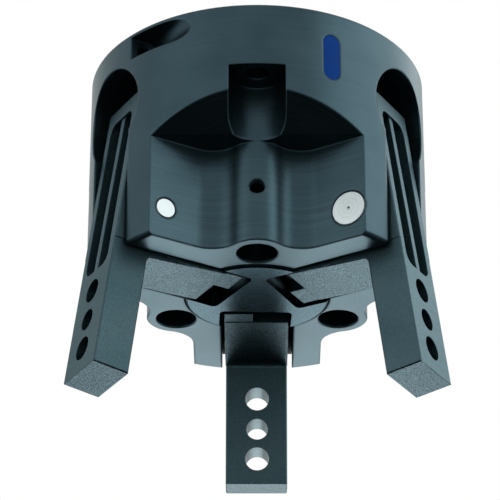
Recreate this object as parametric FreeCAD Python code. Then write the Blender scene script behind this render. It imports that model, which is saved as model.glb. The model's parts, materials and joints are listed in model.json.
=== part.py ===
import FreeCAD, Part
import math
import os

# Pneumatic angular gripper, three fingers on a round body. All sizes in mm.
# z = 0 is the mounting face, the fingers hang down (-z). The parts are placed
# as they stand with the gripper fully open. The three fingers point to 90, 210
# and 330 degrees around z; everything for one finger is built at +Y and turned.

V = FreeCAD.Vector
AXIS = V(0, 0, 1)
FINGERS = ("back", "left", "right")

# Across: the hinges and the mounting holes are set in from the outside
body_r = 46.0
hinge_inset = 8.55
hinge_y = body_r - hinge_inset
mount_inset = 5.0
mount_circle = body_r - mount_inset
mount_hole_r = 3.3
locate_inset = 8.0
locate_circle = body_r - locate_inset
locate_r = 3.0
locate_depth = 8.0

# Across: the width of the finger slots sets the cross pins, these set the
# driver, and the screws go round its bore, with the cylinder inside them
slot_half = 9.8
driver_slot_gap = 0.05
driver_slot_half = slot_half - driver_slot_gap
cross_hold = 3.25
cross_half = driver_slot_half + cross_hold
cross_apart = 5.2
cross_y = round((cross_half + cross_apart) / math.tan(math.radians(60)), 1)
cross_cover = 2.5
driver_r = round(math.hypot(cross_y, cross_half) + cross_cover, 1)
driver_gap = 0.3
driver_bore_r = driver_r + driver_gap
bore_web = 0.6
counterbore_r = 5.4
screw_circle = driver_bore_r + bore_web + counterbore_r
screw_inset = 5.5
cyl_r = screw_circle - screw_inset
cover_rim = 5.5
cover_seat_r = screw_circle + cover_rim

# How far the hinges turn and the piston travels
open_angle = 7.8
close_past = 3.0
swing = open_angle + close_past
lever_arm = hinge_y - cross_y
stroke = round(2 * lever_arm * math.tan(math.radians(swing / 2)), 1)

# Down the middle: cover, piston, wall, driver, hinges, underside
cover_t = 7.9
cover_sunk = 0.1
cover_seat_z = -cover_t - cover_sunk
spigot_h = 4.2
spigot_end = cover_seat_z - spigot_h
room_above_piston = 1.2
piston_top = spigot_end - stroke - room_above_piston
piston_h = 10.7
piston_bottom = piston_top - piston_h
room_under_piston = 0.8
cyl_floor = piston_bottom - room_under_piston
wall_t = 8.0
wall_floor = cyl_floor - wall_t
room_over_driver = 0.3
driver_top = wall_floor - stroke - room_over_driver
driver_plate_t = 4.6
driver_plate_bottom = driver_top - driver_plate_t
hinge_drop = 7.0
hinge_z = driver_plate_bottom - hinge_drop
hinge_up = 9.0
body_h = hinge_up - hinge_z
cross_z = hinge_z - lever_arm * math.tan(math.radians(swing / 2))

# Body
body_bottom_chamfer = 1.0
body_top_chamfer = 0.5
body_edge = 0.25
ear_thickness = 7.9
ear_out = slot_half + ear_thickness
arch_r = 13.2
arch_z = -20.8
arch_back = 7.25
arch_floor = hinge_y - arch_back
lever_room_over = 12.0
lever_room_top = hinge_z + lever_room_over
lever_room_back = 4.5
lever_room_in = cross_y + lever_room_back

# Pocket between two ears
pocket_roof = -34.7
boss_r = 8.0
valley_r = 8.0
channel_w = 15.0
channel_top = -18.5
side_thread_core_r = 2.1
side_thread_up = 6.8
side_thread_z = hinge_z + side_thread_up

# Cover screws
cover_screw_r = 3.0
cover_screw_hole_r = 3.3
cover_screw_head_r = 5.0
cover_screw_head_h = 6.0
cover_screw_hex = 5.0
cover_screw_len = 36.0
cover_screw_seat = -40.0
cover_screw_socket = 3.2
cover_screw_edge = 0.4

# Air port
port_floor_angle = 121.0
port_half_h = 3.5
port_z = -4.8
port_start = 222.4
port_width = 8.1
port_core_r = 2.1
port_depth = 6.5

# Name plate
plate_angle = 25.4
plate_w = 4.8
plate_h = 13.6
plate_z = -13.9
plate_t = 0.5
plate_sunk = 0.05
plate_gap = 0.06

# Jaw, given in the position with its finger upright
finger_set_in = 0.95
finger_in = hinge_y - finger_set_in
finger_t = 10.1
finger_out = finger_in + finger_t
jaw_top_up = 4.1
jaw_top = arch_z + jaw_top_up
finger_below = 36.3
finger_end = -body_h - finger_below
thrust_ccw = 0.75
thrust_cw = 1.15
thrust_gap = 0.1
lever_ccw = slot_half - thrust_ccw - thrust_gap
lever_cw = slot_half - thrust_cw - thrust_gap
flank_step_ccw = 0.25
flank_step_cw = 0.20
finger_ccw = lever_ccw - flank_step_ccw
finger_cw = lever_cw - flank_step_cw
flank_step_up = 1.0
flank_step_z = -body_h + flank_step_up
under_corner_drop = 1.4
under_corner_z = -body_h - under_corner_drop
under_round = 1.6
nose_past_pin = 1.0
nose_long_y = cross_y - nose_past_pin
nose_cut_back = 3.75
nose_short_y = cross_y + nose_cut_back
nose_step_w = 1.2
nose_drop = 0.2
nose_under = -body_h - nose_drop
seam_drop = 0.2
seam_z = nose_under - seam_drop
jaw_edge = 0.3
lever_top_up = 4.4
lever_top_z = hinge_z + lever_top_up
arm_round = 6.0
hinge_boss_r = 8.4
face_pocket_half = 6.2
face_pocket_top_rim = 4.4
face_pocket_top = jaw_top - face_pocket_top_rim
face_pocket_below = 4.2
face_pocket_bottom = under_corner_z - face_pocket_below
face_pocket_round = 3.0
face_pocket_depth = 3.4
rib_t = 1.6
rib_drop = 1.8
screw_hole_r = 3.3
pin_hole_r = 3.0
upper_hole_up = 24.5
pin_hole_up = 15.75
lower_hole_up = 7.2
hub_bore_r = 4.5
journal_r = 3.5
run_gap = 0.02
bush_flange_r = 7.0
bush_len = 7.0
pin_head_r = 5.0
pin_tail_r = 3.0
pin_sink = 0.1
pin_chamfer = 0.4
pin_mark_r = 0.5

# Driver with its cross pins
driver_angle = 2.4
driver_proud = 0.6
driver_bottom = -body_h - driver_proud
driver_slot_past = 3.3
driver_slot_end = cross_y - driver_slot_past
driver_slot_round = 1.5
driver_edge = 0.5
cross_r = 2.5
cross_edge = 0.3
fork_play = 0.1
fork_end = 4.0

# Piston with rod
piston_play = 0.15
rod_r = 8.0
rod_spigot_r = 6.0
rod_spigot = 2.5
seal_groove_w = 4.0
seal_groove_d = 3.0
guide_groove_w = 2.5
guide_groove_d = 1.2
buffer_inset = 6.0
buffer_r_out = cyl_r - buffer_inset
buffer_w = 4.0
buffer_r_in = buffer_r_out - buffer_w
buffer_sink = 1.5
buffer_up = 0.5
centre_screw_r = 4.0
centre_screw_head_r = 6.5
centre_screw_head_h = 8.0
centre_screw_hex = 6.0
centre_screw_bite = 14.6
centre_screw_end = driver_top - centre_screw_bite
piston_edge = 0.6
head_recess_gap = 0.4
head_recess_deep = 0.3
centre_screw_socket = 4.0
centre_screw_edge = 0.5
screw_tip_edge = 0.6
rod_wall_gap = 0.1
rod_bush_t = 1.0
rod_bush_h = 3.8
rod_seal_t = 3.0
rod_seal_h = 2.6
rod_seal_up = 4.4
rod_seal_z = wall_floor + rod_seal_up

# Back cover
cover_fit = 0.1
cover_r = cover_seat_r - cover_fit
spigot_r = cyl_r - cover_fit
oring_r = 0.9
pilot_inset = 5.0
pilot_r = cyl_r - pilot_inset
pilot_depth = 2.0
cover_edge = 0.5
cover_thread_r = 2.5
cover_thread_top = -2.0


def turned(shape, degrees):
    out = shape.copy()
    out.rotate(V(0, 0, 0), AXIS, degrees)
    return out


def thrice(shape, start=0):
    return [turned(shape, start + 120 * i) for i in range(3)]


def box(x0, x1, y0, y1, z0, z1):
    return Part.makeBox(x1 - x0, y1 - y0, z1 - z0, V(x0, y0, z0))


def post(r, z0, z1, x=0.0, y=0.0):
    return Part.makeCylinder(r, z1 - z0, V(x, y, z0))


def tube(r_out, r_in, z0, z1):
    return post(r_out, z0, z1).cut(post(r_in, z0 - 1, z1 + 1))


def rod_along(direction, r, start, length):
    return Part.makeCylinder(r, length, start, direction)


def face_of(points):
    return Part.Face(Part.makePolygon([V(*p) for p in points + points[:1]]))


def rounded(shape, r, keep):
    edges = [e for e in shape.Edges if keep(e)]
    return shape.makeFillet(r, edges) if edges else shape


def bevelled(shape, size, keep):
    edges = [e for e in shape.Edges if keep(e)]
    return shape.makeChamfer(size, edges) if edges else shape


def at_point(y, z, tol=0.05):
    def keep(edge):
        c = edge.CenterOfMass
        return abs(c.y - y) < tol and abs(c.z - z) < tol and edge.Length > 2
    return keep


def is_ring(r, z, tol=0.01):
    def keep(edge):
        curve = edge.Curve
        on = isinstance(curve, Part.Circle) and abs(curve.Radius - r) < tol
        return on and abs(curve.Center.z - z) < tol
    return keep


def lies_at(z):
    def keep(edge):
        b = edge.BoundBox
        return abs(b.ZMin - z) < 1e-4 and abs(b.ZMax - z) < 1e-4
    return keep


def upright(edge):
    box_ = edge.BoundBox
    return box_.XLength < 1e-6 and box_.YLength < 1e-6


def hex_socket(flats, z0, z1, x=0.0, y=0.0):
    corner = flats / math.sqrt(3)
    ring = [(x + corner * math.cos(math.radians(60 * i)),
             y + corner * math.sin(math.radians(60 * i)), z0) for i in range(6)]
    return face_of(ring).extrude(V(0, 0, z1 - z0))


def save(name, shape):
    shape.exportStep(os.path.join("parts", name + ".step"))


# Body: one milled and turned piece


def ear_pocket():
    # seen along -Y; the side walls stay parallel to the slots beside them
    left = math.radians(210)
    along = V(math.cos(left), math.sin(left), 0)
    across = V(-math.sin(left), math.cos(left), 0)
    boss = V(0, -screw_circle, 0)
    valley_w = ear_out + valley_r
    reach = boss_r + valley_r
    valley_u = boss.dot(along) + math.sqrt(reach ** 2 - (valley_w - boss.dot(across)) ** 2)
    valley = along * valley_u + across * valley_w
    to_boss = (boss - valley).normalize()
    foot = valley - across * valley_r
    meet = valley + to_boss * valley_r
    deepest = valley + (to_boss - across).normalize() * valley_r
    far = along * (2 * body_r) + across * ear_out

    def mirror(p):
        return V(-p.x, p.y, p.z)

    wire = Part.Wire([
        Part.makeLine(far, foot),
        Part.Arc(foot, deepest, meet).toShape(),
        Part.Arc(meet, boss + V(0, -boss_r, 0), mirror(meet)).toShape(),
        Part.Arc(mirror(meet), mirror(deepest), mirror(foot)).toShape(),
        Part.makeLine(mirror(foot), mirror(far)),
        Part.makeLine(mirror(far), far)])
    solid = Part.Face(wire).extrude(V(0, 0, body_h))
    solid.translate(V(0, 0, pocket_roof - body_h))
    # outside the line from ear to ear the roof rises at 45 degrees
    corner_u = math.sqrt(body_r ** 2 - ear_out ** 2)
    chord = (along * corner_u + across * ear_out).y
    rise = body_r + chord + 2
    slope = face_of([(-body_r, chord, pocket_roof),
                     (-body_r, chord - rise, pocket_roof + rise),
                     (-body_r, chord - rise, pocket_roof)])
    return solid.fuse(slope.extrude(V(2 * body_r, 0, 0)))


def screw_channel():
    half = channel_w / 2
    back = post(half, -body_h, channel_top, 0, -mount_circle)
    front = box(-half, half, -body_r - 2, -mount_circle, -body_h, channel_top)
    return back.fuse(front)


def air_port():
    # flat floor for the fitting, reached by a sloping milled pocket
    side = port_width - port_half_h
    pocket = rod_along(V(0, -1, 0), port_half_h, V(side, 0, 0), body_r)
    pocket = pocket.fuse(box(-port_width, side, -body_r, 0, -port_half_h, port_half_h))
    hole = rod_along(V(0, 1, 0), port_core_r, V(side, 0, 0), port_depth)
    cut = pocket.fuse(hole)
    cut.rotate(V(0, 0, 0), AXIS, port_floor_angle - 90)
    start = math.radians(port_start)
    cut.translate(V(body_r * math.cos(start), body_r * math.sin(start), port_z))
    return cut


def plate_outline(spare, r_in, r_out):
    half_w = plate_w / 2 + spare
    straight = (plate_h - plate_w) / 2
    shape = box(-half_w, half_w, -body_r - 2, -r_in + 4, plate_z - straight, plate_z + straight)
    for end in (-straight, straight):
        shape = shape.fuse(rod_along(V(0, 1, 0), half_w, V(0, -body_r - 2, plate_z + end), 8))
    ring = tube(r_out, r_in, plate_z - plate_h, plate_z + plate_h)
    return turned(shape.common(ring), plate_angle)


def pin_bore():
    head = rod_along(V(1, 0, 0), pin_head_r, V(0, hinge_y, hinge_z), ear_out + 1)
    tail = rod_along(V(-1, 0, 0), pin_tail_r, V(0, hinge_y, hinge_z), ear_out + 1)
    return head.fuse(tail)


def housing():
    solid = post(body_r, -body_h, 0)
    solid = bevelled(solid, body_bottom_chamfer, is_ring(body_r, -body_h))
    solid = bevelled(solid, body_top_chamfer, is_ring(body_r, 0))
    cuts = [ear_pocket(), screw_channel(),
            post(mount_hole_r, channel_top - 1, 1, 0, -mount_circle),
            post(counterbore_r, -body_h - 1, cover_screw_seat, 0, -screw_circle),
            post(cover_screw_hole_r, -body_h, 0, 0, -screw_circle),
            rod_along(V(0, 1, 0), side_thread_core_r, V(0, -body_r, side_thread_z),
                      body_r - screw_circle),
            rod_along(V(0, 1, 0), arch_r, V(0, arch_floor, arch_z), body_r),
            box(-slot_half, slot_half, arch_floor, body_r + 1, -body_h - 1, arch_z),
            box(-slot_half, slot_half, lever_room_in, arch_floor + 1, -body_h - 1,
                lever_room_top),
            pin_bore()]
    for cut in cuts:
        for one in thrice(cut):
            solid = solid.cut(one)
    solid = solid.cut(post(driver_bore_r, -body_h - 1, wall_floor))
    solid = solid.cut(post(cyl_r, cyl_floor, 1))
    solid = solid.cut(post(cover_seat_r, cover_seat_z, 1))
    solid = solid.cut(post(rod_r + rod_bush_t, wall_floor - 1, wall_floor + rod_bush_h))
    solid = solid.cut(post(rod_r + rod_wall_gap, wall_floor, cyl_floor + 1))
    solid = solid.cut(post(rod_r + rod_seal_t, rod_seal_z, rod_seal_z + rod_seal_h))
    for x in (-locate_circle, locate_circle):
        solid = solid.cut(post(locate_r, -locate_depth, 1, x, 0))
    for angle in (0, 240):
        solid = solid.cut(turned(air_port(), angle))
    solid = solid.cut(plate_outline(plate_gap, body_r - plate_t, body_r + 2))
    return bevelled(solid.removeSplitter(), body_edge, lies_at(-body_h))


# Jaws: lever, arm and finger in one piece, turned to the open position


def opened(y, z, x=0.0):
    p = V(x, y - hinge_y, z - hinge_z)
    a = math.radians(open_angle)
    return (x, hinge_y + p.y * math.cos(a) - p.z * math.sin(a),
            hinge_z + p.y * math.sin(a) + p.z * math.cos(a))


def tilt(shape, degrees=open_angle):
    out = shape.copy()
    out.rotate(V(0, hinge_y, hinge_z), V(1, 0, 0), degrees)
    return out


def limb(ccw, cw):
    # lever, arm and finger as one bent bar, with its edges broken
    corner = opened(finger_in, under_corner_z)
    foot = opened(finger_in, lever_top_z)
    under = (corner[2] - seam_z) / (corner[1] - nose_short_y)
    outline = [corner, opened(finger_in, finger_end),
               opened(finger_out, finger_end), opened(finger_out, jaw_top),
               opened(finger_in, jaw_top),
               (0, foot[1], lever_top_z), (0, nose_long_y, lever_top_z),
               (0, nose_long_y, seam_z + under * (nose_long_y - nose_short_y))]
    solid = face_of(outline).extrude(V(ccw + cw, 0, 0))
    solid.translate(V(-ccw, 0, 0))
    solid = rounded(solid, under_round, at_point(corner[1], corner[2]))
    solid = rounded(solid, arm_round, at_point(foot[1], lever_top_z))
    return bevelled(solid, jaw_edge, lambda e: e.BoundBox.XLength < 1e-5)


def jaw():
    # the flanks are a little narrower below the body
    low = tilt(box(-ear_out, ear_out, nose_short_y, 2 * body_r, finger_end - 1, flank_step_z))
    solid = limb(lever_ccw, lever_cw).cut(low)
    solid = solid.fuse(limb(finger_ccw, finger_cw).common(low))
    width = lever_ccw + lever_cw
    boss = rod_along(V(1, 0, 0), hinge_boss_r, V(-lever_ccw, hinge_y, hinge_z), width)
    solid = solid.fuse(boss).removeSplitter()

    # nose: one half reaches further in and forks around the cross pin
    solid = solid.cut(box(-ear_out, ear_out, 0, nose_short_y, finger_end, nose_under))
    solid = solid.cut(box(-nose_step_w, ear_out, 0, nose_short_y, finger_end, jaw_top))
    slope = math.degrees(math.atan2(hinge_z - cross_z, lever_arm))
    gap = cross_r + fork_play
    end = fork_end - gap
    fork = box(-ear_out, -nose_step_w, -lever_arm, end, -gap, gap)
    fork = fork.fuse(rod_along(V(1, 0, 0), gap, V(-ear_out, end, 0), ear_out - nose_step_w))
    fork.rotate(V(0, 0, 0), V(1, 0, 0), slope)
    fork.translate(V(0, cross_y, cross_z))
    solid = solid.cut(fork)

    # long pocket with a thin rib in the outer face
    floor = finger_out - face_pocket_depth
    half = face_pocket_half
    pocket = box(-half, half, floor, finger_out + 1, face_pocket_bottom, face_pocket_top)
    pocket = rounded(pocket, face_pocket_round,
                     lambda e: e.BoundBox.XLength < 1e-6 and e.BoundBox.ZLength < 1e-6)
    rib = face_of([(0, floor, face_pocket_bottom), (0, finger_out, face_pocket_bottom),
                   (0, finger_out - rib_drop, face_pocket_top), (0, floor, face_pocket_top)])
    rib = rib.extrude(V(rib_t, 0, 0))
    rib.translate(V(-rib_t / 2, 0, 0))
    solid = solid.cut(tilt(pocket.cut(rib)))

    holes = ((upper_hole_up, screw_hole_r), (pin_hole_up, pin_hole_r),
             (lower_hole_up, screw_hole_r))
    for up, r in holes:
        hole = rod_along(V(0, 1, 0), r, V(0, finger_in - 1, finger_end + up), finger_t + 2)
        solid = solid.cut(tilt(hole))
    return solid.cut(hinge_bore(hub_bore_r))


def hinge_bore(r):
    return rod_along(V(1, 0, 0), r, V(-ear_out, hinge_y, hinge_z), 2 * ear_out)


def flanged_bush(face_x, flange, sign):
    way = V(sign, 0, 0)
    sleeve = rod_along(way * -1, hub_bore_r, V(face_x, hinge_y, hinge_z), bush_len)
    disc = rod_along(way, bush_flange_r, V(face_x, hinge_y, hinge_z), flange)
    return sleeve.fuse(disc).removeSplitter().cut(hinge_bore(journal_r + run_gap))


def hinge_bushes():
    return Part.Compound([flanged_bush(-lever_ccw, thrust_ccw, -1),
                          flanged_bush(lever_cw, thrust_cw, 1)])


def hinge_pin():
    # stepped, so that it goes in from one side only
    end = ear_out - pin_sink
    c = pin_chamfer
    steps = [(-end, 0), (-end, pin_tail_r - c), (-end + c, pin_tail_r),
             (-slot_half, pin_tail_r), (-slot_half, journal_r), (slot_half, journal_r),
             (slot_half, pin_head_r), (end - c, pin_head_r), (end, pin_head_r - c), (end, 0)]
    face = face_of([(x, r, 0) for x, r in steps])
    solid = face.revolve(V(0, 0, 0), V(1, 0, 0), 360)
    # centre mark left from turning, in the head end
    mark = Part.makeCone(pin_mark_r, 0, pin_mark_r, V(end, 0, 0), V(-1, 0, 0))
    solid = solid.cut(mark)
    solid.translate(V(0, hinge_y, hinge_z))
    return solid


# Driver: a turned disc with three slots, pulled up to close the jaws


def driver():
    solid = post(driver_r, driver_bottom, driver_top)
    solid = bevelled(solid, driver_edge, is_ring(driver_r, driver_bottom))
    slot = box(-driver_slot_half, driver_slot_half, driver_slot_end, 2 * driver_r,
               driver_bottom - 1, driver_plate_bottom)
    slot = rounded(slot, driver_slot_round,
                   lambda e: upright(e) and abs(e.CenterOfMass.y - driver_slot_end) < 0.01)
    for cut in (slot, cross_pin()):
        for one in thrice(cut):
            solid = solid.cut(one)
    solid = solid.cut(post(rod_spigot_r, driver_top - rod_spigot, driver_top + 1))
    solid = solid.cut(post(centre_screw_r, centre_screw_end - 1, driver_top))
    return turned(solid, driver_angle)


def cross_pin():
    pin = rod_along(V(1, 0, 0), cross_r, V(-cross_half, cross_y, cross_z), 2 * cross_half)
    return bevelled(pin, cross_edge, lambda e: isinstance(e.Curve, Part.Circle))


# Piston with its rod, seals and screw


def piston():
    r = cyl_r - piston_play
    solid = post(r, piston_bottom, piston_top)
    solid = bevelled(solid, piston_edge, is_ring(r, piston_bottom))
    solid = bevelled(solid, piston_edge, is_ring(r, piston_top))
    solid = solid.fuse(post(rod_r, driver_top, piston_bottom))
    solid = solid.fuse(post(rod_spigot_r, driver_top - rod_spigot, driver_top))
    solid = solid.removeSplitter()
    solid = solid.cut(tube(cyl_r + 1, cyl_r - seal_groove_d, *seal_span()))
    solid = solid.cut(tube(cyl_r + 1, cyl_r - guide_groove_d, *guide_span()))
    for low, high in buffer_spans():
        solid = solid.cut(tube(buffer_r_out, buffer_r_in, low, high))
    solid = solid.cut(post(centre_screw_head_r + head_recess_gap, centre_seat(),
                           piston_top + 1))
    return solid.cut(post(centre_screw_r, driver_top - rod_spigot - 1, piston_top))


def centre_seat():
    return piston_top - centre_screw_head_h - head_recess_deep


def seal_span():
    middle = (piston_top + piston_bottom) / 2 + 1.6
    return middle - seal_groove_w / 2, middle + seal_groove_w / 2


def guide_span():
    low = piston_bottom + 1.6
    return low, low + guide_groove_w


def buffer_spans():
    return ((piston_bottom - buffer_up, piston_bottom + buffer_sink),
            (piston_top - buffer_sink, piston_top + buffer_up))


def piston_seal():
    low, high = seal_span()
    solid = tube(cyl_r, cyl_r - seal_groove_d, low, high)
    solid = bevelled(solid, piston_edge, is_ring(cyl_r, low))
    return bevelled(solid, piston_edge, is_ring(cyl_r, high))


def centre_screw():
    seat = centre_seat()
    solid = post(centre_screw_r, centre_screw_end, seat)
    solid = solid.fuse(post(centre_screw_head_r, seat, seat + centre_screw_head_h))
    top = seat + centre_screw_head_h
    solid = solid.removeSplitter()
    solid = bevelled(solid, centre_screw_edge, is_ring(centre_screw_head_r, top))
    solid = bevelled(solid, screw_tip_edge, is_ring(centre_screw_r, centre_screw_end))
    return solid.cut(hex_socket(centre_screw_hex, top - centre_screw_socket, top + 1))


# Back cover with its screws and ring


def back_cover():
    solid = post(cover_r, cover_seat_z, cover_seat_z + cover_t)
    solid = solid.fuse(post(spigot_r, spigot_end, cover_seat_z)).removeSplitter()
    solid = bevelled(solid, cover_edge, is_ring(cover_r, cover_seat_z + cover_t))
    solid = solid.cut(tube(cyl_r + 1, cyl_r - 2 * oring_r, *ring_span()))
    solid = solid.cut(post(pilot_r, -pilot_depth, 1))
    thread = post(cover_screw_r, cover_seat_z - 1, cover_thread_top, 0, -screw_circle)
    for one in thrice(thread):
        solid = solid.cut(one)
    return solid


def ring_span():
    middle = (cover_seat_z + spigot_end) / 2
    return middle - 1.2 * oring_r, middle + 1.2 * oring_r


def cover_ring():
    return Part.makeTorus(cyl_r - oring_r, oring_r, V(0, 0, sum(ring_span()) / 2))


def cover_screw():
    seat = cover_screw_seat
    low = seat - cover_screw_head_h
    solid = post(cover_screw_r, seat, seat + cover_screw_len, 0, -screw_circle)
    solid = solid.fuse(post(cover_screw_head_r, low, seat, 0, -screw_circle))
    solid = solid.removeSplitter()
    solid = bevelled(solid, cover_screw_edge, is_ring(cover_screw_head_r, low))
    solid = bevelled(solid, screw_tip_edge, is_ring(cover_screw_r, seat + cover_screw_len))
    return solid.cut(hex_socket(cover_screw_hex, low - 1, low + cover_screw_socket,
                                0, -screw_circle))


os.makedirs("parts", exist_ok=True)

save("housing", housing())
save("name_plate", plate_outline(0, body_r - plate_t, body_r - plate_sunk))
save("back_cover", back_cover())
save("cover_ring", cover_ring())
save("cover_screws", Part.Compound(thrice(cover_screw())))
save("rod_bush", tube(rod_r + rod_bush_t, rod_r + run_gap, wall_floor,
                      wall_floor + rod_bush_h))
save("rod_seal", tube(rod_r + rod_seal_t, rod_r + run_gap, rod_seal_z,
                      rod_seal_z + rod_seal_h))
save("piston", piston())
save("piston_seal", piston_seal())
save("piston_guide", tube(cyl_r - run_gap, cyl_r - guide_groove_d, *guide_span()))
save("end_buffers", Part.Compound([tube(buffer_r_out, buffer_r_in, *span)
                                   for span in buffer_spans()]))
save("centre_screw", centre_screw())
save("driver", driver())
save("cross_pins", Part.Compound(thrice(cross_pin(), driver_angle)))
for make, stem in ((jaw, "jaw_"), (hinge_bushes, "bushes_"), (hinge_pin, "hinge_pin_")):
    for name, shape in zip(FINGERS, thrice(make())):
        save(stem + name, shape)
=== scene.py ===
import json
import math

import bmesh
import bpy
from mathutils import Matrix, Vector


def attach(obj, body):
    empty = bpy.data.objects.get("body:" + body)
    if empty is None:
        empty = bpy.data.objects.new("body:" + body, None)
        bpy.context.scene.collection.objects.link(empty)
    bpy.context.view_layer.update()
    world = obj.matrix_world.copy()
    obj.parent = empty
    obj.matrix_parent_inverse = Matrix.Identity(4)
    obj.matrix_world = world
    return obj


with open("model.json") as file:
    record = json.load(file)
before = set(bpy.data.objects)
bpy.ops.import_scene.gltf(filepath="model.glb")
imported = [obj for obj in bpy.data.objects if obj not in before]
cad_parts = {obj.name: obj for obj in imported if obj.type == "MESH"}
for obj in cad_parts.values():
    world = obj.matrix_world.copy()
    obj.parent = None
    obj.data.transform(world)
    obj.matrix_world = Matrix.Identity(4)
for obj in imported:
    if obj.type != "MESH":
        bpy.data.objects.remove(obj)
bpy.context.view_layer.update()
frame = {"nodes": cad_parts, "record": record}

# Housing and back cover: the housing is one piece of aluminium, turned outside
# and milled in the slots and pockets. The cover closes its cylinder from above,
# and both are hard anodised a dark slate grey.

MM = 0.001
LINE_RUN = 1 / 30
CLOUD_MM = 14
FAINT = 0.7
GLOSS_SWING = 0.08
NOISE_LOW, NOISE_MIDDLE, NOISE_HIGH = 0.3, 0.5, 0.7


def linear(code):
    """An sRGB hex colour as linear red, green, blue and alpha."""
    parts = [int(code[i:i + 2], 16) / 255 for i in (1, 3, 5)]
    return [c / 12.92 if c <= 0.04045 else ((c + 0.055) / 1.055) ** 2.4 for c in parts] + [1.0]


def add(tree, kind, inputs=None, **settings):
    """Add a shader node with its settings, and link or set its inputs."""
    made = tree.nodes.new("ShaderNode" + kind)
    for name, value in settings.items():
        setattr(made, name, value)
    for socket, value in (inputs or {}).items():
        if isinstance(value, bpy.types.NodeSocket):
            tree.links.new(value, made.inputs[socket])
        else:
            made.inputs[socket].default_value = value
    return made


def empty_material(name):
    made = bpy.data.materials.new(name)
    made.use_nodes = True
    made.node_tree.nodes.clear()
    return made, made.node_tree


def finish_shader(tree, settings):
    shader = add(tree, "BsdfPrincipled", settings)
    add(tree, "OutputMaterial", {"Surface": shader.outputs["BSDF"]})


def paint(material, *nodes):
    for name in nodes:
        mesh = frame["nodes"][name].data
        mesh.materials.clear()
        mesh.materials.append(material)


def surface(name, dark, light, lines, grain, rough, metallic, tint="#ffffff", specular=0.5,
            broken_mm=0.1, turned_mm=1000.0, centre=(0, 0, 0), turn=(0, 0, 0)):
    """A worked surface: level lines on the walls, rings on flat ends, and a fine grain.
    lines and grain each give a spacing and a depth in mm, and a share of the colour
    that they change. The rings run round the local Z axis at centre. Edges are broken
    by broken_mm, the lines fade beyond the radius turned_mm, they run LINE_RUN metres,
    and tint colours a grazing reflection."""
    line_mm, line_depth_mm, streak = lines
    grain_mm, grain_depth_mm, speckle = grain
    material, tree = empty_material(name)
    place = add(tree, "Mapping", {"Vector": add(tree, "TexCoord").outputs["Object"],
                                  "Location": centre, "Rotation": turn},
                vector_type="TEXTURE").outputs["Vector"]

    drawn_out = add(tree, "Mapping", {"Vector": place, "Scale": (1 / LINE_RUN, 1 / LINE_RUN,
                                                                 1 / (line_mm * MM))})
    wall = add(tree, "TexNoise", {"Vector": drawn_out.outputs["Vector"], "Scale": 1.0,
                                  "Detail": 3.0})
    split = add(tree, "SeparateXYZ", {"Vector": place})
    flat = add(tree, "CombineXYZ", {"X": split.outputs["X"], "Y": split.outputs["Y"]})
    radius = add(tree, "VectorMath", {0: flat.outputs["Vector"]}, operation="LENGTH")
    turns = add(tree, "Math", {0: radius.outputs["Value"], 1: 1 / (line_mm * MM)},
                operation="MULTIPLY")
    ring = add(tree, "TexNoise", {"W": turns.outputs["Value"], "Scale": 1.0, "Detail": 3.0},
               noise_dimensions="1D")
    facing = add(tree, "VectorRotate", {"Vector": add(tree, "NewGeometry").outputs["Normal"],
                                        "Rotation": turn}, rotation_type="EULER_XYZ", invert=True)
    level = add(tree, "SeparateXYZ", {"Vector": facing.outputs["Vector"]})
    end_on = add(tree, "Math", {0: level.outputs["Z"]}, operation="ABSOLUTE")
    cut = add(tree, "Mix", {0: end_on.outputs["Value"], 2: wall.outputs["Fac"],
                            3: ring.outputs["Fac"]})
    outside = add(tree, "Math", {0: radius.outputs["Value"], 1: turned_mm * MM},
                  operation="GREATER_THAN")
    faint = add(tree, "Math", {0: outside.outputs["Value"], 1: FAINT}, operation="MULTIPLY")
    marks = add(tree, "Mix", {0: faint.outputs["Value"], 2: cut.outputs[0],
                              3: NOISE_MIDDLE})

    grains = add(tree, "TexNoise", {"Vector": place, "Scale": 1 / (grain_mm * MM), "Detail": 2.0})
    cloud = add(tree, "TexNoise", {"Vector": place, "Scale": 1 / (CLOUD_MM * MM), "Detail": 2.0})
    base = add(tree, "ValToRGB", {"Fac": cloud.outputs["Fac"]})
    for stop, where, code in zip(base.color_ramp.elements, (NOISE_LOW, NOISE_HIGH), (dark, light)):
        stop.position = where
        stop.color = linear(code)
    streaks, specks = [
        add(tree, "MapRange", {"Value": pattern, "From Min": NOISE_LOW, "From Max": NOISE_HIGH,
                               "To Min": 1 - share, "To Max": 1 + share})
        for pattern, share in ((marks.outputs[0], streak), (grains.outputs["Fac"], speckle))]
    shade = add(tree, "Math", {0: streaks.outputs["Result"], 1: specks.outputs["Result"]},
                operation="MULTIPLY")
    colour = add(tree, "VectorMath", {0: base.outputs["Color"], "Scale": shade.outputs["Value"]},
                 operation="SCALE")
    gloss = add(tree, "MapRange", {"Value": marks.outputs[0], "To Min": rough - GLOSS_SWING,
                                   "To Max": rough + GLOSS_SWING})

    edges = add(tree, "Bevel", {"Radius": broken_mm * MM}, samples=6)
    lined = add(tree, "Bump", {"Height": marks.outputs[0], "Strength": 1.0,
                               "Distance": line_depth_mm * MM,
                               "Normal": edges.outputs["Normal"]})
    grainy = add(tree, "Bump", {"Height": grains.outputs["Fac"], "Strength": 1.0,
                                "Distance": grain_depth_mm * MM,
                                "Normal": lined.outputs["Normal"]})
    finish_shader(tree, {"Base Color": colour.outputs["Vector"], "Metallic": metallic,
                         "Roughness": gloss.outputs["Result"], "Specular Tint": linear(tint),
                         "Specular IOR Level": specular, "Normal": grainy.outputs["Normal"]})
    return material


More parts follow.
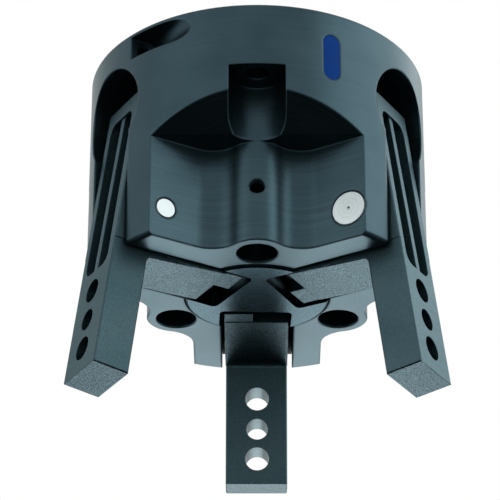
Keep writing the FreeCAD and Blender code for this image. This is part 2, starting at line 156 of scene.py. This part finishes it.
# Hard anodised aluminium: satin, with the cutter's lines level round every wall
# and rings of the facing cut on the flat ends. The lines, really 0.1 to 0.2 mm
# apart, are drawn at 0.5 mm, and the 0.3 mm edge breaks at 0.8, so that they show.
hard_anodised = surface("hard_anodised_aluminium", "#30434a", "#374a51",
                        lines=(0.5, 0.010, 0.16), grain=(0.2, 0.002, 0.04),
                        rough=0.36, metallic=0.95, tint="#f2f8f9", broken_mm=0.8,
                        turned_mm=45.5)
paint(hard_anodised, "housing", "back_cover")

# Side threads and air ports: M5 thread cut in the housing. Its crests stand in
# the core hole as one fine helix, which shows as light and dark turns.

THREAD_PITCH = 0.8 * MM
CREST_HEIGHT = 0.22 * MM
CREST_HALF = 0.3 * THREAD_PITCH
LEAD_IN = 0.25 * MM
STEPS = 20


def solid(name, mesh, material):
    """Turn a finished bmesh into an object of one material."""
    data = bpy.data.meshes.new(name)
    mesh.to_mesh(data)
    mesh.free()
    data.materials.append(material)
    piece = bpy.data.objects.new(name, data)
    bpy.context.scene.collection.objects.link(piece)
    return piece


def tapped(name, mouth, inward, depth, core):
    """The crests of a thread: a three sided ridge wound round the core hole's wall."""
    mesh = bmesh.new()
    count = int(depth / THREAD_PITCH * STEPS)
    rows = []
    for i in range(count + 1):
        turn = 2 * math.pi * i / STEPS
        along = LEAD_IN + i * THREAD_PITCH / STEPS
        fade = min(1.0, i / STEPS, (count - i) / STEPS)
        rows.append([mesh.verts.new((r * math.cos(turn), r * math.sin(turn), along + shift))
                     for r, shift in ((core, -CREST_HALF), (core - CREST_HEIGHT * fade, 0.0),
                                      (core, CREST_HALF))])
    for one, two in zip(rows, rows[1:]):
        for i in range(3):
            j = (i + 1) % 3
            mesh.faces.new((one[i], one[j], two[j], two[i]))
    for end in (rows[0], rows[-1]):
        mesh.faces.new(end)
    bmesh.ops.recalc_face_normals(mesh, faces=mesh.faces)
    along_axis = inward.normalized().to_track_quat("Z", "Y").to_matrix().to_4x4()
    mesh.transform(Matrix.Translation(mouth) @ along_axis)
    piece = solid(name, mesh, hard_anodised)
    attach(piece, "body")


for mount in frame["record"]["mounts"]:
    if mount["kind"] == "threaded_hole":
        middle, out = Vector(mount["pos_m"]), Vector(mount["axis"])
        length, core = mount["dims"]["length_mm"] * MM, mount["dims"]["r_mm"] * MM
        tapped("thread_" + mount["name"], middle + out * length / 2, -out,
               length - THREAD_PITCH, core)

# Jaws: aluminium, each lever, arm and finger milled from one piece and then blasted
# before the same hard anodising. The undersides of the levers and the ends of the
# fingers have the same finish, with glints painted on as strong light and dark specks.

FINGERS = {"back": 90, "left": 210, "right": 330}
LEVER_UNDER = -66.0 * MM
FINGER_END = -97.0 * MM
FACES_DOWN = -0.3
PAINTED_GLINT_SLOT = 1

# Blasted and anodised: dull, with a faint grain that is really about 0.1 mm wide and
# is drawn at 0.4 mm and more. The second copy is the same finish with painted glints,
# strong light and dark specks.
blasted = surface("blasted_anodised_aluminium", "#354a50", "#3c5056",
                  lines=(0.6, 0.002, 0.04), grain=(0.45, 0.05, 0.14),
                  rough=0.46, metallic=0.95, tint="#e6f2f5", broken_mm=0.3)
painted_glint_blasted = surface("painted_glint_blasted_anodised_aluminium", "#35484f", "#3c4f55",
                         lines=(0.6, 0.002, 0.04), grain=(0.4, 0.05, 0.8),
                         rough=0.46, metallic=0.95, tint="#eef5f7", broken_mm=0.3)
paint(blasted, "jaw_back", "jaw_left", "jaw_right")
# Faces that face down, on the lever undersides and finger ends, take the copy with painted glints.
for finger in FINGERS:
    mesh = frame["nodes"]["jaw_" + finger].data
    mesh.materials.append(painted_glint_blasted)
    for face in mesh.polygons:
        if face.normal.z < FACES_DOWN and not FINGER_END < face.center.z < LEVER_UNDER:
            face.material_index = PAINTED_GLINT_SLOT

# Holes in the fingers: reamed to size, part of the jaw and anodised with it. The
# reamer leaves their walls smoother than the blasted faces, and their colour is a
# little lighter.

WALL_MARGIN_MM = 0.05
MOSTLY_ACROSS = 0.5
REAMED_SLOT = 2

reamed = surface("reamed_anodised_aluminium", "#3c5157", "#42575d",
                 lines=(0.4, 0.001, 0.04), grain=(0.2, 0.001, 0.03),
                 rough=0.38, metallic=0.95, tint="#f2f8f9")
for finger in FINGERS:
    mesh = frame["nodes"]["jaw_" + finger].data
    mesh.materials.append(reamed)
    for mount in frame["record"]["mounts"]:
        if mount["kind"] == "bore" and mount["name"].startswith("finger_" + finger):
            middle, along = Vector(mount["pos_m"]), Vector(mount["axis"])
            reach = (mount["dims"]["r_mm"] + WALL_MARGIN_MM) * MM
            for face in mesh.polygons:
                offset = face.center - middle
                from_axis = (offset - along * offset.dot(along)).length
                if from_axis < reach and abs(face.normal.dot(along)) < MOSTLY_ACROSS:
                    face.material_index = REAMED_SLOT

# Ribs: one runs down the middle of the long pocket in each jaw's outer face, part
# of the same milled piece. In the photo it stands nearly level with the rims, so
# it is drawn up to there, a little wider than the rib of the plain model.

HINGE_R, HINGE_Z = next(joint["pos_m"][1:] for joint in frame["record"]["behaviour"]["joints"]
                        if joint["name"] == "hinge_back")
JAW_OPEN = math.radians(7.8)
JAW_OUTER = 46.6 * MM
POCKET_DEPTH = 3.5 * MM
RIB_HALF = 0.95 * MM
RIB_LOW, RIB_HIGH = -69.7 * MM, -21.0 * MM
DROP_LOW, DROP_HIGH = 0.05 * MM, 0.5 * MM

hinge = Matrix.Translation((0, HINGE_R, HINGE_Z))
opened = hinge @ Matrix.Rotation(JAW_OPEN, 4, "X") @ hinge.inverted()
rib_foot = JAW_OUTER - POCKET_DEPTH
outline = ((rib_foot, RIB_LOW), (JAW_OUTER - DROP_LOW, RIB_LOW),
           (JAW_OUTER - DROP_HIGH, RIB_HIGH), (rib_foot, RIB_HIGH))
for finger, angle in FINGERS.items():
    rib = bmesh.new()
    sides = [[rib.verts.new((x, y, z)) for y, z in outline] for x in (-RIB_HALF, RIB_HALF)]
    for face in sides:
        rib.faces.new(face)
    for i in range(4):
        j = (i + 1) % 4
        rib.faces.new((sides[0][i], sides[0][j], sides[1][j], sides[1][i]))
    bmesh.ops.recalc_face_normals(rib, faces=rib.faces)
    rib.transform(Matrix.Rotation(math.radians(angle - FINGERS["back"]), 4, "Z") @ opened)
    piece = solid("rib_" + finger, rib, blasted)
    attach(piece, "jaw_" + finger)

# Driver: a turned steel disc on the end of the rod. It draws in the three jaws
# together, by a pin across each of its slots.

# Blackened steel: fine turned and nearly smooth, with faint rings and a soft grain,
# so that the middle of its face mirrors the back jaw.
blackened_steel = surface("blackened_turned_steel", "#1e343d", "#243b43",
                          lines=(0.35, 0.001, 0.02), grain=(0.5, 0.02, 0.5),
                          rough=0.24, metallic=0.95, tint="#ecf5f7")
paint(blackened_steel, "driver")

# Hinge pins: hardened steel, held in the ears of the housing. Their ends keep the
# rings of the last cut, and the larger end has a small centre mark.

for finger, angle in FINGERS.items():
    a = math.radians(angle)
    # Ground steel: bright and satin. The rings run round each pin's own axis, so each
    # pin has a material of its own.
    ground = surface("ground_steel_" + finger, "#abb5b6", "#bcc6c7",
                     lines=(0.5, 0.004, 0.10), grain=(0.15, 0.001, 0.03),
                     rough=0.36, metallic=0.95,
                     centre=(HINGE_R * math.cos(a), HINGE_R * math.sin(a), HINGE_Z),
                     turn=(-math.pi / 2, 0, a))
    paint(ground, "hinge_pin_" + finger)

# Cross pins: short hardened pins held in the driver. The fork in each jaw's nose
# grips one. They are ground a little finer than the hinge pins.

ground_steel = surface("ground_steel", "#aeb3b3", "#bfc3c3",
                       lines=(0.25, 0.002, 0.06), grain=(0.15, 0.001, 0.02),
                       rough=0.3, metallic=0.95)
paint(ground_steel, "cross_pins")

# Piston and rod: one turned piece of aluminium that slides in the housing's
# cylinder. It is left bright, with fine level lines.

turned_aluminium = surface("turned_aluminium", "#a4a8a9", "#b1b5b6",
                           lines=(0.3, 0.004, 0.06), grain=(0.2, 0.001, 0.02),
                           rough=0.32, metallic=0.95)
paint(turned_aluminium, "piston")

# Screws: three long ones hold the cover and one holds the driver on the rod. Black
# oxide on steel, oiled, looks nearly black with a low sheen.

black_oxide = surface("black_oxide_steel", "#1b1c1e", "#242628",
                      lines=(0.3, 0.002, 0.05), grain=(0.2, 0.002, 0.05),
                      rough=0.42, metallic=0.8)
paint(black_oxide, "cover_screws", "centre_screw")

# Bushes: sintered bronze, pressed into the jaws' hubs and the wall that the rod runs
# through. Soaked in oil and run in, the bronze is dark and dull, and its colour is
# painted nearly black and grey as the shade of the gaps that it sits in.

# Nearly black and grey: oil darkens the bronze, and painted shade of the gaps does the rest.
bronze_in_painted_shade = surface("oiled_bronze_in_painted_shade", "#171716", "#1f1e1c",
                          lines=(0.4, 0.001, 0.03), grain=(0.15, 0.01, 0.2),
                          rough=0.6, metallic=0.6)
paint(bronze_in_painted_shade, "rod_bush", "bushes_back", "bushes_left", "bushes_right")

# Seals and buffers: rings and pads of nitrile rubber, moulded and set in their
# grooves. The rubber is black and dull.

nitrile = surface("nitrile_rubber", "#161616", "#1e1e1e",
                  lines=(0.8, 0.001, 0.03), grain=(0.3, 0.004, 0.1),
                  rough=0.7, metallic=0.0)
paint(nitrile, "cover_ring", "rod_seal", "piston_seal", "end_buffers")

# Guide ring: a strip of filled slide plastic, sprung into the piston's groove. It is
# pale and waxy.

slide_plastic = surface("filled_slide_plastic", "#b9b4a4", "#c5c0b1",
                        lines=(0.8, 0.001, 0.02), grain=(0.2, 0.002, 0.03),
                        rough=0.5, metallic=0.0)
paint(slide_plastic, "piston_guide")

# Name plate: a blank blue plastic inlay, glued in a recess of the housing. It is
# smooth and satin, and hardly mirrors anything.

blue_plastic = surface("blue_satin_plastic", "#003478", "#003a84",
                       lines=(2.0, 0.0005, 0.03), grain=(0.4, 0.0005, 0.03),
                       rough=0.42, metallic=0.0, specular=0.05)
paint(blue_plastic, "name_plate")

# Floor: plain, pale and matt. The part hangs so high over it that a camera can look
# straight up at the part from above the floor.

FLOOR_Z = -2.0
FLOOR_WIDTH = 40.0
PATCH = 0.5
FLOOR_GLOW = 0.85


def background_rays(tree):
    """1 for the rays that show the background: camera, transmission and glossy rays."""
    ray = add(tree, "LightPath")
    clear = add(tree, "Math", {0: ray.outputs["Is Camera Ray"],
                               1: ray.outputs["Is Transmission Ray"]}, operation="MAXIMUM")
    seen = add(tree, "Math", {0: clear.outputs["Value"], 1: ray.outputs["Is Glossy Ray"]},
               operation="MAXIMUM")
    return seen.outputs["Value"]


bpy.ops.mesh.primitive_plane_add(size=FLOOR_WIDTH, location=(0, 0, FLOOR_Z))
floor = bpy.context.object
floor.name = "studio_floor"

# Matt floor paint: off-white, with soft patches half a metre wide. For the rays that
# show the background, most of it glows in its own colour and the rest is lit.
floor_paint, tree = empty_material("matt_floor_paint")
patches = add(tree, "TexNoise", {"Vector": add(tree, "TexCoord").outputs["Object"],
                                 "Scale": 1 / PATCH})
shade = add(tree, "ValToRGB", {"Fac": patches.outputs["Fac"]})
for stop, code in zip(shade.color_ramp.elements, ("#f4f5f5", "#fbfbfb")):
    stop.color = linear(code)
matt = add(tree, "BsdfDiffuse", {"Color": shade.outputs["Color"]})
glow = add(tree, "Emission", {"Color": shade.outputs["Color"], "Strength": 1.0})
share = add(tree, "Math", {0: background_rays(tree), 1: FLOOR_GLOW}, operation="MULTIPLY")
mixed = add(tree, "MixShader", {0: share.outputs["Value"], 1: matt.outputs["BSDF"],
                                2: glow.outputs["Emission"]})
add(tree, "OutputMaterial", {"Surface": mixed.outputs["Shader"]})
floor.data.materials.append(floor_paint)

# Dark card: lies low in front of the part and is seen only in reflections. Faces
# that slope down and forward mirror it, and come out nearly black.

CARD_WIDTH, CARD_DEPTH = 1.4, 1.16
CARD_Y, CARD_Z = -0.43, -0.5

bpy.ops.mesh.primitive_plane_add(size=1, location=(0, CARD_Y, CARD_Z))
dark_card = bpy.context.object
dark_card.name = "dark_card"
dark_card.scale = (CARD_WIDTH, CARD_DEPTH, 1)
for rays in ("camera", "diffuse", "transmission", "shadow"):
    setattr(dark_card, "visible_" + rays, False)
black_cloth, tree = empty_material("black_cloth")
finish_shader(tree, {"Base Color": linear("#0c0d0d"), "Roughness": 1.0,
                     "Specular IOR Level": 0.0})
dark_card.data.materials.append(black_cloth)

# Surround: a plain level light from all sides. Where it is seen, itself or mirrored
# in metal, it is white.

LEVEL_LIGHT = 0.7

world = bpy.data.worlds.new("studio")
bpy.context.scene.world = world
world.use_nodes = True
tree = world.node_tree
tree.nodes.clear()
level_light = add(tree, "Background", {"Color": linear("#dfe8ea"), "Strength": LEVEL_LIGHT})
white = add(tree, "Background", {"Color": linear("#ffffff"), "Strength": 1.0})
either = add(tree, "MixShader", {0: background_rays(tree), 1: level_light.outputs["Background"],
                                 2: white.outputs["Background"]})
add(tree, "OutputWorld", {"Surface": either.outputs["Shader"]})

# Lamps: four square softboxes that face the part. One behind and below lights the
# underside, two stand on the right, before and behind it, and a weak one on the
# left. Each has its place, its width in metres and its power in watts.

AIM = Vector((0, 0, -0.06))
SOFTBOXES = {"softbox_under": ((0.1, 1.0, -0.6), 0.9, 6.4),
             "softbox_right": ((0.95, -0.35, 0.3), 0.85, 4.1),
             "softbox_rear": ((0.8, 0.46, 0.42), 0.8, 3.2),
             "softbox_left": ((-0.8, -0.7, 0.1), 0.5, 1.5)}

for name, (spot, width, watts) in SOFTBOXES.items():
    lamp = bpy.data.lights.new(name, "AREA")
    lamp.size = width
    lamp.energy = watts
    softbox = bpy.data.objects.new(name, lamp)
    bpy.context.scene.collection.objects.link(softbox)
    softbox.location = spot
    softbox.rotation_euler = (AIM - Vector(spot)).to_track_quat("-Z", "Y").to_euler()

# Camera: in front of the gripper and below it, looking up at its underside. Its
# place, lens and shift were fitted to the edges of the real one.

STANDS_AT = Vector((0, -0.66608, -0.40049))
LOOKS_AT = Vector((0, 0, -0.04945))
FILM_MM, LENS_MM, SHIFT_X = 36, 200, -0.0142
NEAREST, FARTHEST = 0.05, 20

camera = bpy.data.cameras.new("camera")
camera.sensor_width = FILM_MM
camera.lens = LENS_MM
camera.shift_x = SHIFT_X
camera.clip_start = NEAREST
camera.clip_end = FARTHEST
viewer = bpy.data.objects.new("camera", camera)
bpy.context.scene.collection.objects.link(viewer)
viewer.location = STANDS_AT
viewer.rotation_euler = (LOOKS_AT - STANDS_AT).to_track_quat("-Z", "Y").to_euler()
bpy.context.scene.camera = viewer
bpy.context.scene.view_settings.view_transform = "Standard"
